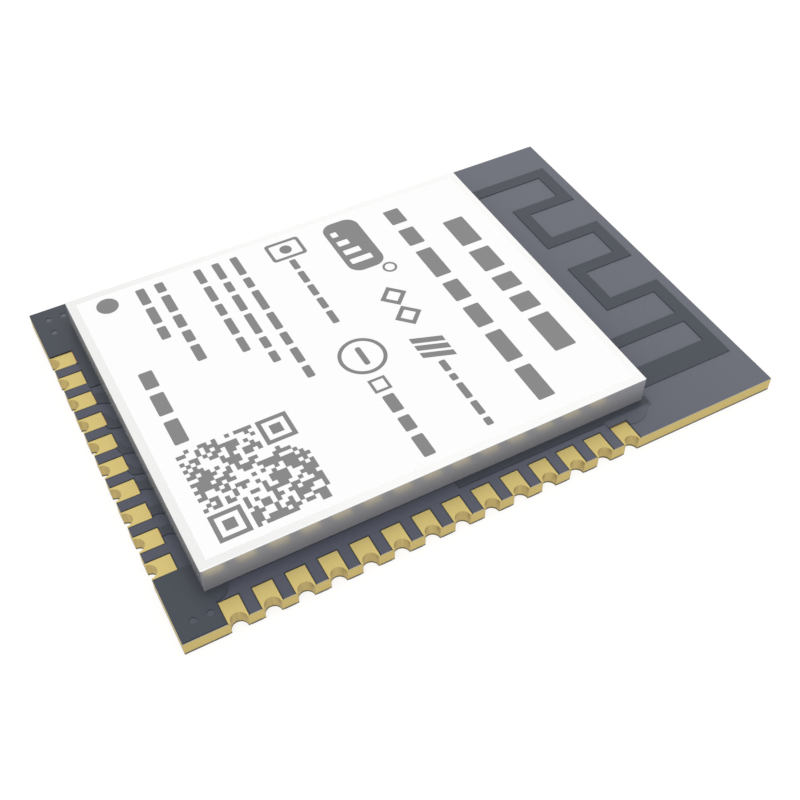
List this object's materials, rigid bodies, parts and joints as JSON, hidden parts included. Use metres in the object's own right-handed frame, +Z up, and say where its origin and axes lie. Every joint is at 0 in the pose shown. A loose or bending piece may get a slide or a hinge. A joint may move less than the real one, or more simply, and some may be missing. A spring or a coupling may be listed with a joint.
{
  "type": "surface-mount wireless module",
  "caption": "Castellated surface-mount wireless module: thin board with a printed meander antenna at one end and a shield can over its circuit.",
  "frame": {"origin": "centre of the underside, at the middle of the board's outline and on the plane that the module rests on", "axes": "+X across the board, square to its two long rows of contacts; +Y along the board to the antenna end; +Z up, out of the shield can's top"},
  "size_m": [0.018, 0.0254, 0.0019],
  "materials": {
    "laminate": "tan glass-fibre laminate, sawn edge",
    "solder_mask": "dark blue-grey satin solder mask",
    "copper": "etched copper under the mask",
    "gold_plating": "satin gold plating",
    "shield_sheet": "satin nickel-silver sheet with a white printed field",
    "solder": "matte solder",
    "chip_epoxy": "black moulding compound",
    "tin_plating": "matte tin",
    "ceramic": "brown ceramic",
    "crystal_lid_metal": "satin metal lid",
    "capacitor_ceramic": "tan ceramic",
    "resistor_glaze": "black glaze",
    "inductor_ceramic": "grey ceramic"
  },
  "bodies": {
    "root": {"laminate": "laminate", "top_solder_mask": "solder_mask", "bottom_solder_mask": "solder_mask", "antenna_trace": "copper", "top_ground_copper": "copper", "signal_copper": "copper", "bottom_ground_copper": "copper", "ground_pad": "gold_plating", "plated_vias": "copper", "shield_can": "shield_sheet", "shield_solder": "solder", "radio_chip_body": "chip_epoxy", "radio_chip_leadframe": "tin_plating", "flash_chip_body": "chip_epoxy", "flash_chip_leadframe": "tin_plating", "crystal_base": "ceramic", "crystal_lid": "crystal_lid_metal", "capacitor_bodies": "capacitor_ceramic", "resistor_bodies": "resistor_glaze", "inductor_bodies": "inductor_ceramic", "passive_terminals": "tin_plating", "contact_01": "gold_plating", "contact_02": "gold_plating", "contact_03": "gold_plating", "contact_04": "gold_plating", "contact_05": "gold_plating", "contact_06": "gold_plating", "contact_07": "gold_plating", "contact_08": "gold_plating", "contact_09": "gold_plating", "contact_10": "gold_plating", "contact_11": "gold_plating", "contact_12": "gold_plating", "contact_13": "gold_plating", "contact_14": "gold_plating", "contact_15": "gold_plating", "contact_16": "gold_plating", "contact_17": "gold_plating", "contact_18": "gold_plating", "contact_19": "gold_plating", "contact_20": "gold_plating", "contact_21": "gold_plating", "contact_22": "gold_plating", "contact_23": "gold_plating", "contact_24": "gold_plating", "contact_25": "gold_plating", "contact_26": "gold_plating", "contact_27": "gold_plating", "contact_28": "gold_plating", "contact_29": "gold_plating", "contact_30": "gold_plating", "contact_31": "gold_plating", "contact_32": "gold_plating", "contact_33": "gold_plating", "contact_34": "gold_plating", "contact_35": "gold_plating", "contact_36": "gold_plating", "contact_37": "gold_plating", "contact_38": "gold_plating"}
  },
  "joints": []
}
